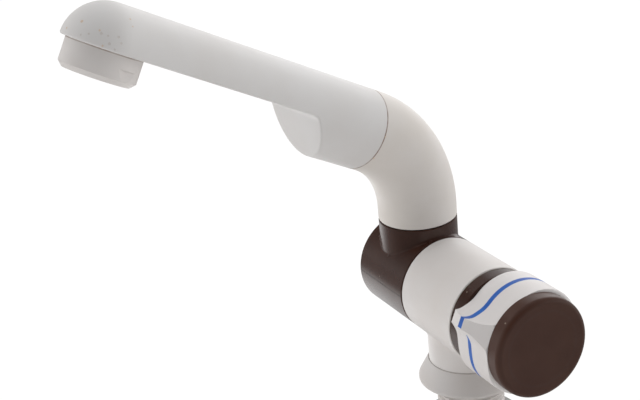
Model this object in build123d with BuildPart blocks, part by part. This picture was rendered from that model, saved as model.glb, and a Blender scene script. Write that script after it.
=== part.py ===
from build123d import *
import os
from math import asin, cos, degrees, radians, sin, tan

# Cold water tap with a fold-down, swivelling spout. Millimetres, +Z up.
# The origin is where the axis of the stem meets the deck. The barrel lies along Y, with the
# knob towards -Y, and the spout reaches towards -X.

os.makedirs("parts", exist_ok=True)

# Clearances
fit = 0.05              # radial play of a shaft or spigot in its bore
gap = 0.3               # open gap between pieces that turn past each other
washer_play = 0.2       # radial play of a washer round its shaft
seal_room = 1.25        # width of a seal groove, in thicknesses of its seal
over = 1.0              # how far a cut runs past the face where it comes out

# Deck and stem
flange_radius = 20.5
flange_top_radius = 16.3
flange_height = 8.8
flange_lip = 1.0        # upright edge at the foot of the flange
gasket_inner = 15.0
gasket_outer = 19.0
gasket_thickness = 1.6
stem_radius = 16.0
shank_radius = 13.5
shank_length = 38.0
thread_start = 4.0      # plain length of the shank below the deck
thread_end = 2.0        # plain length at the foot of the shank
thread_pitch = 2.0
thread_depth = 0.9
deck_thickness = 20.0
washer_radius = 20.0
washer_thickness = 2.0
washer_clearance = 0.4
nut_flats = 34.0
nut_bevel_angle = 31.0  # of the turned corners, from the level
nut_height = 8.0
inlet_radius = 4.5
tail_radius = 6.0
tail_length = 25.0      # free length below its collar
tail_bore = 3.7
tail_chamfer = 0.6
tail_collar_radius = 6.6
tail_collar_height = 2.0
tail_insertion = 24.0
tail_seal_section = 0.75
tail_seal_depth = 6.0   # distance of the seal below the top of the tail
cable_offset = 9.2      # distance of the cable channel from the axis of the stem
cable_radius = 1.6
grommet_length = 5.0
grommet_head_radius = 2.2
grommet_head = 1.5
grommet_bore = 0.9

# Body
barrel_radius = 20.0
barrel_height = 33.8
body_front = 19.1
body_rear = 16.0
edge_round = 0.5
stem_blend = 2.0
stub_blend = 1.0
rear_edge_break = 28.0  # angle each side of the stem where the rear edge of the body stays sharp
chamber_radius = 14.0
socket_radius = 9.0
socket_depth = 9.0
partition_thickness = 4.0
partition_bore = 5.0
cable_drop = 17.0       # depth of the cable channel below the axis of the barrel

# Front collar and valve
collar_radius = 19.6
collar_length = 5.9
collar_bore = 17.2
collar_web = 2.0
bonnet_flange_radius = 16.5
bonnet_flange = 2.0
bonnet_thread_length = 7.1
bonnet_radius = 10.5
bonnet_bore = 8.1
neck_radius = 6.5
neck_length = 4.9
bonnet_end_gap = 0.2
bonnet_seal_setback = 2.0
bonnet_seal_section = 0.85
window_length = 2.6
window_width = 8.1
cable_notch_width = 4.0
disc_radius = 8.0
disc_thickness = 3.0
port_inner = 2.2
port_outer = 6.2
port_angle = 76.0
seat_seal_inner = 5.4
seat_seal_thickness = 1.0
spindle_radius = 4.0
spindle_flat = 3.0      # distance of the drive flat from the axis
foot_radius = 7.8
foot_thickness = 2.0
foot_height = 5.0       # from the turning disc to the front of the foot
dog_width = 2.8
dog_notch_depth = 1.5
dog_engagement = 1.5
spindle_seal_section = 0.75
clip_radius = 6.0
clip_thickness = 1.0
clip_groove_radius = 3.2
clip_mouth = 5.8
clip_play = 0.1

# Switch
case_width = 10.0
case_height = 5.2
case_depth = 5.6
case_clearance = 10.0   # from the barrel axis to the near side of the case
case_screw_spacing = 6.6
case_screw_height = 3.2
case_screw_radius = 0.8
case_screw_head_radius = 1.4
case_screw_head = 1.0
case_screw_slot = 0.35
case_screw_setback = 0.2   # of the tips from the rear of the bonnet flange
terminal_spacing = 3.4
terminal_height = 0.7
terminal_width = 1.6
terminal_thickness = 0.5
plunger_radius = 0.9
plunger_length = 3.7
plunger_chamfer = 0.3
plunger_travel = 0.8
plunger_fit = 0.1
cam_base_radius = 8.2
cam_wall_bore = 6.8
cam_base_thickness = 1.0
cam_end_gap = 1.0
cam_hold_angle = 18.0   # past the quarter turn, at full rise
cam_drop_angle = 18.0

# Knob
knob_radius = 21.6
knob_length = 19.9
knob_bore = 17.0
knob_front_round = 2.0
knob_rear_round = 1.0
knob_web = 3.0
knob_web_setback = 9.2  # from the front of the knob to the web
boss_radius = 9.5
boss_length = 6.0
nose_angle = 24.7       # of the nose above the level of the spout side
nose_reach = 25.9
nose_width = 4.4
nose_rear_reach = 23.5
nose_front_reach = 19.8
nose_land = 2.2         # flat land along the top of the nose, as wide as the stripe
nose_land_setback = 7.2
# The nose stands between two hollows. Their depth is taken below the circle of the knob, and
# the flanks of the nose run through points of (angle from the nose, share of the depth).
upper_hollow = 2.54     # the upper one is an arc, smaller in radius by this than the knob
upper_flank_points = ((8.1, -0.12), (13.8, 0.59))
upper_arc_angle = 23.7  # from the nose to the start of the arc
upper_join_angle = 125.3
lower_hollow = 1.45
lower_flank_points = ((11.2, -0.28), (16.1, 0.55), (26.0, 1.0), (47.0, 0.48))
lower_join_angle = 69.0
stripe_depth = 0.6
stripe_taper = 3.5      # length over which the end of a stripe narrows
stripe_tip = 0.6        # width at the end of a stripe
stripe_break_angle = 6.5    # left white under the nose
upper_stripe_angle = 165.0
lower_stripe_angle = -62.0
cap_step = 1.6          # from the circle of the knob in to the cap
cap_length = 6.6
cap_front_round = 2.0
cap_dish = 0.7
cap_face = 2.5
cap_skirt_wall = 2.0
cap_skirt_length = 4.0
knob_washer_radius = 6.5
knob_washer_thickness = 1.0
knob_screw_radius = 1.5
knob_screw_head_radius = 3.2
knob_screw_head = 2.2
knob_screw_length = 12.0
knob_screw_round = 0.8
knob_screw_cross = 0.7   # width of the cross recess

# Fold joint
swivel_length = 33.5
stub_offset = 33.7
stub_radius = 16.0
stub_height = 24.5      # of the top of the stub above the axis of the barrel
tube_bore = 5.5
tube_end_wall = 6.0
tube_end_gap = 0.3
front_land = 10.4
rear_land = 5.0
water_groove_radius = 12.5
tube_window_length = 10.0
tube_window_width = 5.0
clip_cavity_radius = 12.5
clip_cavity_depth = 2.1
rear_cap_radius = 17.4
rear_cap_thickness = 2.0
rear_cap_chamfer = 0.4
pivot_clip_radius = 10.8
pivot_clip_thickness = 1.0
pivot_clip_mouth = 9.0
pivot_groove_radius = 8.1
pivot_washer_radius = 12.2
pivot_washer_thickness = 0.5
pivot_seal_section = 0.8
pivot_seal_offset = 5.2
stop_radius = 14.5
stop_pin_radius = 1.5
stop_pin_depth = 5.0
stop_pin_reach = 3.0
stop_pin_angle = 225.0
fold_angle = 90.0

# Spout
spout_turn_angle = 7.8        # swing of the spout towards the knob, as it stands in the photo
spout_radius = 16.0
spigot_radius = 12.0
spigot_length = 10.0
spigot_bore = 9.0
stub_riser_bore = 9.0
spigot_seal_section = 0.8
spigot_seal_spacing = 2.7
spigot_seal_start = 2.0
lock_groove_depth = 1.0
lock_groove_width = 2.0
lock_groove_drop = 2.6  # of the middle of the groove below the top of the stub
lock_screw_radius = 1.5
lock_screw_tip_radius = 0.9
lock_screw_setback = 0.5
lock_hex_radius = 0.75
lock_hex_depth = 1.2
elbow_rise = 4.7
elbow_bend_radius = 43.7
elbow_bend_angle = 60.4
elbow_run = 4.2
elbow_bore = 10.0
arm_spigot_radius = 12.5
arm_spigot_length = 8.0
arm_spigot_bore = 10.5
arm_seal_section = 0.6
arm_bore = 12.0
arm_bore_length = 16.0
arm_length = 117.6      # from the elbow seam to the axis of the nozzle
arm_wall = 2.6
step_distance = 33.2    # from the elbow seam to the step in the underside
step_angle = 37.0       # lean of the step face from square
step_round = 5.0
arm_edge_round = 0.8

# Nozzle
nozzle_radius = 13.8
nozzle_height = 10.4
nozzle_foot_chamfer = 1.8
nozzle_neck_radius = 11.0
nozzle_neck_height = 5.0
nozzle_bore = 8.5
nozzle_flat = 12.4      # from the nozzle axis to each spanner flat
nozzle_flat_height = 3.8
nozzle_flat_angle = 16.5   # of the flats from the line of the arm
nozzle_seal_radius = 12.6
nozzle_seal_thickness = 1.0
aerator_radius = 10.6
aerator_height = 5.0
aerator_recess = 0.6
aerator_hole_radius = 0.75
aerator_hole_pitch = 2.5
aerator_plate = 1.6
aerator_rim = 1.4

# Stations along the barrel
front_face = -body_front
collar_front = front_face - collar_length
knob_rear = collar_front - gap
knob_front = knob_rear - knob_length
cap_front = knob_front - cap_length
bonnet_flange_rear = front_face - collar_web
bonnet_flange_front = bonnet_flange_rear - bonnet_flange
neck_front = bonnet_flange_front - neck_length
bonnet_thread_rear = front_face + bonnet_thread_length
partition_rear = body_rear - socket_depth
seat = partition_rear - partition_thickness
fixed_disc_rear = seat - seat_seal_thickness
disc_joint = fixed_disc_rear - disc_thickness
turning_disc_front = disc_joint - disc_thickness
foot_front = turning_disc_front - foot_height
web_front = knob_front + knob_web_setback
boss_rear = web_front + boss_length
land_rear = knob_rear - nose_land_setback
land_front = land_rear - nose_land
land_middle = (land_rear + land_front) / 2
cap_radius = knob_radius - cap_step
swivel_front = body_rear + gap
swivel_rear = swivel_front + swivel_length
rear_cap_front = swivel_rear - rear_cap_thickness
rear_land_rear = rear_cap_front - clip_cavity_depth
rear_land_front = rear_land_rear - rear_land
front_land_rear = swivel_front + front_land
tube_rear = rear_cap_front - tube_end_gap
pivot_washer_rear = rear_land_rear + pivot_washer_thickness
cam_rear = bonnet_flange_front - cam_end_gap
case_middle = bonnet_flange_front - case_depth / 2
stub_top = barrel_height + stub_height
chamber_floor = barrel_height - chamber_radius
cable_level = barrel_height - cable_drop
tail_top = tail_insertion - shank_length
spigot_foot = stub_top + gap - spigot_length - gap
spout_start = stub_top + gap

barrel_axis = Axis((0, 0, barrel_height), (0, 1, 0))
stem_axis = Axis.Z


def across(station):
    """Plane square to the barrel: local x towards the spout side, local y up, normal +Y."""
    return Plane(origin=(0, station, barrel_height), x_dir=(-1, 0, 0), z_dir=(0, 1, 0))


def along_barrel(angle=90.0):
    """Plane through the barrel axis, at an angle above the level of the spout side.

    Local x is the station, local y the radius.
    """
    way = (sin(radians(angle)), 0, cos(radians(angle)))
    return Plane(origin=(0, 0, barrel_height), x_dir=(0, 1, 0), z_dir=way)


def level(height, offset=0.0):
    """Level plane whose origin stands on the stem axis, or on the stub axis with an offset."""
    return Plane(origin=(0, offset, height), x_dir=(1, 0, 0), z_dir=(0, 0, 1))


def ring(plane, inner, outer, length):
    """Plain ring or washer that starts at the plane and runs along its normal."""
    with BuildPart() as piece:
        with BuildSketch(plane):
            Circle(outer)
            Circle(inner, mode=Mode.SUBTRACT)
        extrude(amount=length)
    return piece.part


def o_ring(plane, bore, section):
    """Round-section seal that just fills a bore of the given radius less the running play."""
    with BuildPart(plane) as piece:
        Torus(bore - section, section)
    return piece.part


def polar(radius, angle):
    return (radius * cos(radians(angle)), radius * sin(radians(angle)))


def save(part, name):
    part.label = name
    export_step(part, "parts/" + name + ".step")


# Deck fittings
with BuildPart() as deck_flange:
    with BuildSketch(Plane.XZ):
        with BuildLine():
            Polyline(
                (shank_radius + fit, 0),
                (flange_radius, 0),
                (flange_radius, flange_lip),
                (flange_top_radius, flange_height),
                (shank_radius + fit, flange_height),
                close=True,
            )
        make_face()
    revolve(axis=stem_axis)
    fillet(deck_flange.edges().filter_by(GeomType.CIRCLE).filter_by_position(
        Axis.Z, flange_lip / 2, flange_lip * 1.5), radius=flange_lip * 0.8)
    with BuildSketch(Plane.XY):
        Circle(gasket_outer)
        Circle(gasket_inner, mode=Mode.SUBTRACT)
    extrude(amount=gasket_thickness, mode=Mode.SUBTRACT)
save(deck_flange.part, "deck_flange")

save(ring(level(0), gasket_inner + fit, gasket_outer - fit, gasket_thickness), "deck_gasket")

save(
    ring(
        level(-deck_thickness - washer_thickness),
        shank_radius + washer_clearance,
        washer_radius,
        washer_thickness,
    ),
    "back_washer",
)

nut_top = -deck_thickness - washer_thickness
with BuildPart() as back_nut:
    with BuildSketch(level(nut_top - nut_height)):
        RegularPolygon(nut_flats / 2, 6, major_radius=False)
        Circle(shank_radius + fit, mode=Mode.SUBTRACT)
    extrude(amount=nut_height)
    # the corners of the hexagon are turned off at both ends
    nut_corner = nut_flats / 2 / cos(radians(30)) + over
    nut_bevel = (nut_corner - nut_flats / 2) * tan(radians(nut_bevel_angle))
    with BuildSketch(Plane.XZ):
        with BuildLine():
            Polyline(
                (nut_flats / 2, nut_top),
                (nut_corner, nut_top),
                (nut_corner, nut_top - nut_bevel),
                close=True,
            )
        make_face()
        with BuildLine():
            Polyline(
                (nut_flats / 2, nut_top - nut_height),
                (nut_corner, nut_top - nut_height),
                (nut_corner, nut_top - nut_height + nut_bevel),
                close=True,
            )
        make_face()
    revolve(axis=stem_axis, mode=Mode.SUBTRACT)
save(back_nut.part, "back_nut")

with BuildPart() as hose_tail:
    with BuildSketch(level(-shank_length - tail_collar_height - tail_length)):
        Circle(tail_radius)
    extrude(amount=tail_length + tail_collar_height + tail_insertion)
    chamfer(hose_tail.edges().sort_by(Axis.Z)[0], length=tail_chamfer)
    with BuildSketch(level(-shank_length - tail_collar_height)):
        Circle(tail_collar_radius)
    extrude(amount=tail_collar_height)
    with BuildSketch(level(tail_top - tail_seal_depth - seal_room * tail_seal_section)):
        Circle(tail_radius + over)
        Circle(tail_radius - 2 * tail_seal_section - fit, mode=Mode.SUBTRACT)
    extrude(amount=2 * seal_room * tail_seal_section, mode=Mode.SUBTRACT)
    with BuildSketch(level(-shank_length - tail_collar_height - tail_length)):
        Circle(tail_bore)
    extrude(amount=tail_length + tail_collar_height + tail_insertion, mode=Mode.SUBTRACT)
save(hose_tail.part, "hose_tail")

save(o_ring(level(tail_top - tail_seal_depth), tail_radius, tail_seal_section), "tail_o_ring")

with BuildPart() as cable_grommet:
    with BuildSketch(level(-shank_length, -cable_offset)):
        Circle(cable_radius - fit)
    extrude(amount=grommet_length)
    with BuildSketch(level(-shank_length - grommet_head, -cable_offset)):
        Circle(grommet_head_radius)
    extrude(amount=grommet_head)
    with BuildSketch(level(-shank_length - grommet_head, -cable_offset)):
        Circle(grommet_bore)
    extrude(amount=grommet_head + grommet_length, mode=Mode.SUBTRACT)
save(cable_grommet.part, "cable_grommet")

# Body
with BuildPart() as tap_body:
    # barrel with a rounded front edge, and stem, moulded in one with a blend between them. The
    # barrel starts too long, so that the blend can run out behind, and is then cut off square.
    with BuildSketch(across(front_face)):
        Circle(barrel_radius)
    extrude(amount=body_front + body_rear + 2 * stem_blend)
    fillet(tap_body.edges().filter_by(GeomType.CIRCLE).sort_by(Axis.Y)[0], radius=edge_round)
    with BuildSketch(level(flange_height)):
        Circle(stem_radius)
    extrude(amount=barrel_height - flange_height)
    fillet(tap_body.edges().filter_by(GeomType.BSPLINE), radius=stem_blend)
    with BuildSketch(across(body_rear)):
        Circle(2 * barrel_radius)
    extrude(amount=2 * stem_blend, mode=Mode.SUBTRACT)
    # the rear edge of the barrel is rounded as far as the stem
    with BuildSketch(along_barrel(rear_edge_break - 90)):
        with BuildLine():
            RadiusArc(
                (body_rear - edge_round, barrel_radius),
                (body_rear, barrel_radius - edge_round),
                edge_round,
            )
            Polyline(
                (body_rear, barrel_radius - edge_round),
                (body_rear + over, barrel_radius - edge_round),
                (body_rear + over, barrel_radius + over),
                (body_rear - edge_round, barrel_radius + over),
                (body_rear - edge_round, barrel_radius),
            )
        make_face()
    revolve(axis=barrel_axis, revolution_arc=360 - 2 * rear_edge_break, mode=Mode.SUBTRACT)
    # shank
    with BuildSketch(level(-shank_length)):
        Circle(shank_radius)
    extrude(amount=shank_length + flange_height)
    # the thread on the shank, as grooves at the pitch of the thread
    thread_count = int((shank_length - thread_start - thread_end) / thread_pitch)
    with BuildSketch(Plane.XZ):
        for turn in range(thread_count):
            groove = -thread_start - thread_pitch * (turn + 0.5)
            with BuildLine():
                Polyline(
                    (shank_radius + 0.1, groove + thread_pitch * 0.45),
                    (shank_radius + 0.1, groove - thread_pitch * 0.45),
                    (shank_radius - thread_depth, groove - thread_pitch * 0.08),
                    (shank_radius - thread_depth, groove + thread_pitch * 0.08),
                    close=True,
                )
            make_face()
    revolve(axis=stem_axis, mode=Mode.SUBTRACT)
    # valve chamber, passage to the spout and socket for the pivot tube
    with BuildSketch(across(front_face)):
        Circle(chamber_radius)
    extrude(amount=seat - front_face, mode=Mode.SUBTRACT)
    with BuildSketch(across(seat)):
        Circle(partition_bore)
    extrude(amount=partition_thickness, mode=Mode.SUBTRACT)
    with BuildSketch(across(partition_rear)):
        Circle(socket_radius + fit)
    extrude(amount=socket_depth, mode=Mode.SUBTRACT)
    # water inlet, with the socket for the hose tail below it
    with BuildSketch(level(tail_top)):
        Circle(inlet_radius)
    extrude(amount=chamber_floor - tail_top + 2 * over, mode=Mode.SUBTRACT)
    with BuildSketch(level(-shank_length)):
        Circle(tail_radius + fit)
    extrude(amount=tail_insertion, mode=Mode.SUBTRACT)
    # dry channel for the switch cable, up the shank and out under the collar
    with BuildSketch(level(-shank_length, -cable_offset)):
        Circle(cable_radius)
    extrude(amount=shank_length + cable_level, mode=Mode.SUBTRACT)
    with BuildSketch(across(front_face)):
        with Locations((0, -cable_drop)):
            Circle(cable_radius)
    extrude(amount=body_front - cable_offset + cable_radius, mode=Mode.SUBTRACT)
    # seat of the fold stop pin
    with BuildSketch(across(body_rear - stop_pin_depth)):
        with Locations(polar(stop_radius, stop_pin_angle)):
            Circle(stop_pin_radius)
    extrude(amount=stop_pin_depth, mode=Mode.SUBTRACT)
save(tap_body.part, "tap_body")

with BuildPart() as fold_stop_pin:
    with BuildSketch(across(body_rear - stop_pin_depth)):
        with Locations(polar(stop_radius, stop_pin_angle)):
            Circle(stop_pin_radius)
    extrude(amount=stop_pin_depth + stop_pin_reach)
save(fold_stop_pin.part, "fold_stop_pin")

# Front collar
with BuildPart() as front_collar:
    with BuildSketch(across(collar_front)):
        Circle(collar_radius)
    extrude(amount=collar_length)
    fillet(front_collar.edges().sort_by(Axis.Y)[0], radius=edge_round)
    with BuildSketch(across(collar_front)):
        Circle(collar_bore)
    extrude(amount=collar_length - collar_web, mode=Mode.SUBTRACT)
    with BuildSketch(across(bonnet_flange_rear)):
        Circle(chamber_radius + fit)
    extrude(amount=collar_web, mode=Mode.SUBTRACT)
    with BuildSketch(across(bonnet_flange_rear)):
        with Locations((0, -cable_drop)):
            Circle(cable_radius)
    extrude(amount=collar_web, mode=Mode.SUBTRACT)
save(front_collar.part, "front_collar")

# Valve
bonnet_seal_station = bonnet_thread_rear - bonnet_seal_setback
with BuildPart() as valve_bonnet:
    with BuildSketch(across(neck_front)):
        Circle(neck_radius)
    extrude(amount=neck_length)
    with BuildSketch(across(bonnet_flange_front)):
        Circle(bonnet_flange_radius)
    extrude(amount=bonnet_flange)
    with BuildSketch(across(bonnet_flange_rear)):
        Circle(chamber_radius - fit)
    extrude(amount=collar_web + bonnet_thread_length)
    with BuildSketch(across(bonnet_thread_rear)):
        Circle(bonnet_radius)
    extrude(amount=seat - bonnet_end_gap - bonnet_thread_rear)
    # seal groove
    with BuildSketch(across(bonnet_seal_station - seal_room * bonnet_seal_section)):
        Circle(chamber_radius + over)
        Circle(chamber_radius - 2 * bonnet_seal_section - 2 * fit, mode=Mode.SUBTRACT)
    extrude(amount=2 * seal_room * bonnet_seal_section, mode=Mode.SUBTRACT)
    # spindle bore and disc bore
    with BuildSketch(across(neck_front)):
        Circle(spindle_radius + fit)
    extrude(amount=foot_front - neck_front, mode=Mode.SUBTRACT)
    with BuildSketch(across(foot_front - fit)):
        Circle(bonnet_bore)
    extrude(amount=seat - foot_front + over, mode=Mode.SUBTRACT)
    # four windows let the water in behind the foot of the spindle
    with BuildSketch(across(turning_disc_front - window_length)):
        with PolarLocations(bonnet_bore, 4, start_angle=45):
            Rectangle(2 * (bonnet_radius - bonnet_bore + over), window_width)
    extrude(amount=window_length, mode=Mode.SUBTRACT)
    # notch for the switch cable and two threaded holes for the switch screws
    with BuildSketch(across(bonnet_flange_front)):
        with Locations((0, -cable_drop)):
            Rectangle(cable_notch_width, 2 * (cable_drop - chamber_radius - fit))
        with Locations((0, case_clearance + case_screw_height)):
            with GridLocations(case_screw_spacing, 0, 2, 1):
                Circle(case_screw_radius + fit)
    extrude(amount=bonnet_flange, mode=Mode.SUBTRACT)
save(valve_bonnet.part, "valve_bonnet")

save(o_ring(across(bonnet_seal_station), chamber_radius - fit, bonnet_seal_section), "bonnet_o_ring")

save(ring(across(fixed_disc_rear), seat_seal_inner, disc_radius, seat_seal_thickness), "valve_seat_seal")


def ported_disc(station, first_port, notch_depth=0.0):
    """Ceramic disc with two opposite ports, and notches in the rim if a depth is given."""
    with BuildPart() as disc:
        with BuildSketch(across(station)):
            Circle(disc_radius)
            for port in (first_port, first_port + 180):
                with BuildLine():
                    outer_arc = CenterArc((0, 0), port_outer, port - port_angle / 2, port_angle)
                    inner_arc = CenterArc((0, 0), port_inner, port - port_angle / 2, port_angle)
                    Line(outer_arc @ 0, inner_arc @ 0)
                    Line(outer_arc @ 1, inner_arc @ 1)
                make_face(mode=Mode.SUBTRACT)
        extrude(amount=disc_thickness)
        if notch_depth:
            with BuildSketch(across(station)):
                with PolarLocations(disc_radius, 2):
                    Rectangle(2 * dog_notch_depth, dog_width + 2 * fit)
            extrude(amount=notch_depth, mode=Mode.SUBTRACT)
    return disc.part


save(ported_disc(disc_joint, 0), "fixed_disc")

save(ported_disc(turning_disc_front, 90, dog_engagement), "turning_disc")

clip_front = neck_front - clip_play - clip_thickness
spindle_seal_station = (bonnet_flange_rear + bonnet_thread_rear) / 2
with BuildPart() as spindle:
    with BuildSketch(across(web_front)):
        Circle(spindle_radius)
    extrude(amount=foot_front - web_front)
    # drive flat inside the boss of the knob
    with BuildSketch(across(web_front)):
        with Locations((0, spindle_flat + spindle_radius)):
            Rectangle(4 * spindle_radius, 2 * spindle_radius)
    extrude(amount=boss_length, mode=Mode.SUBTRACT)
    # foot and its two dogs
    with BuildSketch(across(foot_front)):
        Circle(foot_radius)
    extrude(amount=foot_thickness)
    dog_thickness = foot_radius - disc_radius + dog_notch_depth
    with BuildSketch(across(foot_front)):
        with PolarLocations(foot_radius - dog_thickness / 2, 2, start_angle=0):
            Rectangle(dog_thickness, dog_width)
    extrude(amount=foot_height + dog_engagement)
    # grooves for the seal and for the clip, and the hole for the knob screw
    with BuildSketch(across(spindle_seal_station - seal_room * spindle_seal_section)):
        Circle(spindle_radius + over)
        Circle(spindle_radius - 2 * spindle_seal_section - fit, mode=Mode.SUBTRACT)
    extrude(amount=2 * seal_room * spindle_seal_section, mode=Mode.SUBTRACT)
    with BuildSketch(across(clip_front)):
        Circle(spindle_radius + over)
        Circle(clip_groove_radius, mode=Mode.SUBTRACT)
    extrude(amount=clip_thickness, mode=Mode.SUBTRACT)
    with BuildSketch(across(web_front)):
        Circle(knob_screw_radius + fit)
    extrude(amount=knob_screw_length - knob_washer_thickness + over, mode=Mode.SUBTRACT)
save(spindle.part, "spindle")

save(o_ring(across(spindle_seal_station), spindle_radius, spindle_seal_section), "spindle_o_ring")

with BuildPart() as spindle_clip:
    with BuildSketch(across(clip_front)):
        Circle(clip_radius)
        Circle(clip_groove_radius + fit, mode=Mode.SUBTRACT)
        with Locations((0, -clip_radius)):
            Rectangle(clip_mouth, 2 * clip_radius, mode=Mode.SUBTRACT)
    extrude(amount=clip_thickness)
save(spindle_clip.part, "spindle_clip")

# Switch and its cam
with BuildPart() as microswitch_case:
    with BuildSketch(across(bonnet_flange_front - case_depth)):
        with Locations((0, case_clearance + case_height / 2)):
            Rectangle(case_width, case_height)
        with Locations((0, case_clearance + case_screw_height)):
            with GridLocations(case_screw_spacing, 0, 2, 1):
                Circle(case_screw_radius + fit, mode=Mode.SUBTRACT)
    extrude(amount=case_depth)
    # blind hole for the plunger
    with BuildSketch(level(barrel_height + case_clearance, case_middle)):
        Circle(plunger_radius + plunger_fit)
    extrude(amount=plunger_length - gap, mode=Mode.SUBTRACT)
save(microswitch_case.part, "microswitch_case")

with BuildPart() as switch_terminals:
    with BuildSketch(level(barrel_height + case_clearance + case_height, case_middle)):
        with GridLocations(terminal_spacing, 0, 3, 1):
            Rectangle(terminal_thickness, terminal_width)
    extrude(amount=terminal_height)
save(switch_terminals.part, "switch_terminals")

case_front = bonnet_flange_front - case_depth
with BuildPart() as switch_screws:
    with BuildSketch(across(case_front)):
        with Locations((0, case_clearance + case_screw_height)):
            with GridLocations(case_screw_spacing, 0, 2, 1):
                Circle(case_screw_radius)
    extrude(amount=case_depth + bonnet_flange - case_screw_setback)
    with BuildSketch(across(case_front - case_screw_head)):
        with Locations((0, case_clearance + case_screw_height)):
            with GridLocations(case_screw_spacing, 0, 2, 1):
                Circle(case_screw_head_radius)
    extrude(amount=case_screw_head)
    with BuildSketch(across(case_front - case_screw_head)):
        with Locations((0, case_clearance + case_screw_height)):
            with GridLocations(case_screw_spacing, 0, 2, 1):
                Rectangle(1.6 * case_screw_head_radius, case_screw_slot)
    extrude(amount=case_screw_head / 2, mode=Mode.SUBTRACT)
save(switch_screws.part, "switch_screws")

plunger_foot = cam_base_radius + gap
with BuildPart() as switch_plunger:
    with BuildSketch(level(barrel_height + plunger_foot, case_middle)):
        Circle(plunger_radius)
    extrude(amount=plunger_length)
    chamfer(switch_plunger.edges().sort_by(Axis.Z)[0], length=plunger_chamfer)
save(switch_plunger.part, "switch_plunger")

cam_top_radius = cam_base_radius + plunger_travel
base_start = 180 + cam_hold_angle + cam_drop_angle
with BuildPart() as switch_cam:
    # the cam rises over the quarter turn that opens the valve, holds, and drops back
    with BuildSketch(across(boss_rear)):
        with BuildLine():
            ThreePointArc(
                polar(cam_base_radius, 90),
                polar(cam_base_radius + plunger_travel / 2, 135),
                polar(cam_top_radius, 180),
            )
            hold = CenterArc((0, 0), cam_top_radius, 180, cam_hold_angle)
            Line(hold @ 1, polar(cam_base_radius, base_start))
            CenterArc((0, 0), cam_base_radius, base_start, 450 - base_start)
        make_face()
        Circle(cam_wall_bore, mode=Mode.SUBTRACT)
    extrude(amount=cam_rear - boss_rear)
    with BuildSketch(across(boss_rear)):
        Circle(boss_radius)
        Circle(cam_wall_bore, mode=Mode.SUBTRACT)
    extrude(amount=cam_base_thickness)
save(switch_cam.part, "switch_cam")

# Knob
nose_half_angle = degrees(asin(nose_width / 2 / nose_reach))
lower_corner = nose_angle - nose_half_angle
upper_join = nose_angle + upper_join_angle
lower_join = nose_angle - lower_join_angle


def flank(points, hollow, side, inset):
    """Points of one flank from the nose outwards, on the side 1 above it or -1 below it."""
    course = []
    for angle, share in points:
        radius = knob_radius - hollow * share - inset
        steep = degrees(inset / knob_radius) * (1 - share)
        course.append(polar(radius, nose_angle + side * (angle - steep)))
    return course


def knob_outline(inset):
    """Outline of the grip, a circle with one nose between two hollows, drawn in by the inset."""
    reach = nose_reach - inset
    half = degrees(asin((nose_width / 2 - inset) / reach))
    with BuildSketch() as outline:
        with BuildLine():
            upper_arc = CenterArc(
                polar(upper_hollow, upper_join),
                knob_radius - upper_hollow - inset,
                nose_angle + upper_arc_angle,
                upper_join_angle - upper_arc_angle,
            )
            upper_flank = Spline(
                polar(reach, nose_angle + half),
                *flank(upper_flank_points, upper_hollow, 1, inset),
                upper_arc @ 0,
                tangents=(polar(-1, nose_angle), upper_arc % 0),
            )
            CenterArc(
                (0, 0),
                knob_radius - inset,
                upper_join,
                360 - upper_join_angle - lower_join_angle,
            )
            lower_flank = Spline(
                polar(knob_radius - inset, lower_join),
                *reversed(flank(lower_flank_points, lower_hollow, -1, inset)),
                polar(reach, nose_angle - half),
                tangents=(polar(1, lower_join + 90), polar(1, nose_angle)),
            )
            Line(lower_flank @ 1, upper_flank @ 0)
        make_face()
    return outline.sketch


def stripe(first, last, tapers):
    """Inlay round the grip from one angle to another, as deep as its groove.

    The tapers are (angle, way) pairs: the end at that angle narrows to a tip, and way is 1
    where the inlay lies at larger angles than its end and -1 where it lies at smaller ones.
    """
    reach = nose_reach * 2
    with BuildPart() as inlay:
        with BuildSketch(across(land_front)):
            add(knob_outline(0))
            add(knob_outline(stripe_depth), mode=Mode.SUBTRACT)
        extrude(amount=nose_land)
        # keep the sector between the two angles
        steps = 6
        with BuildSketch(across(land_front)):
            with BuildLine():
                corners = [(0, 0)]
                for step in range(steps + 1):
                    corners.append(polar(reach, first + (last - first) * step / steps))
                Polyline(*corners, close=True)
            make_face()
        extrude(amount=nose_land, mode=Mode.INTERSECT)
        # the tip: a wedge is taken off each side of the end
        for angle, way in tapers:
            outwards = (-cos(radians(angle)), 0, sin(radians(angle)))
            end_plane = Plane(
                origin=(0, land_middle, barrel_height), x_dir=(0, 1, 0), z_dir=outwards
            )
            with BuildSketch(end_plane):
                for side in (1, -1):
                    with BuildLine():
                        Polyline(
                            (side * stripe_tip / 2, way * over),
                            (side * stripe_tip / 2, 0),
                            (side * nose_land / 2, -way * stripe_taper),
                            (side * (nose_land / 2 + over), -way * stripe_taper),
                            (side * (nose_land / 2 + over), way * over),
                            close=True,
                        )
                    make_face()
            extrude(amount=reach, mode=Mode.SUBTRACT)
    return inlay


lower_stripe_tip = lower_corner - stripe_break_angle
knob_stripe_upper = stripe(lower_corner + 0.6, upper_stripe_angle, [(upper_stripe_angle, -1)])
save(knob_stripe_upper.part, "knob_stripe_upper")

knob_stripe_lower = stripe(
    lower_stripe_angle,
    lower_stripe_tip,
    [(lower_stripe_angle, 1), (lower_stripe_tip, -1)],
)
save(knob_stripe_lower.part, "knob_stripe_lower")

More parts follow.
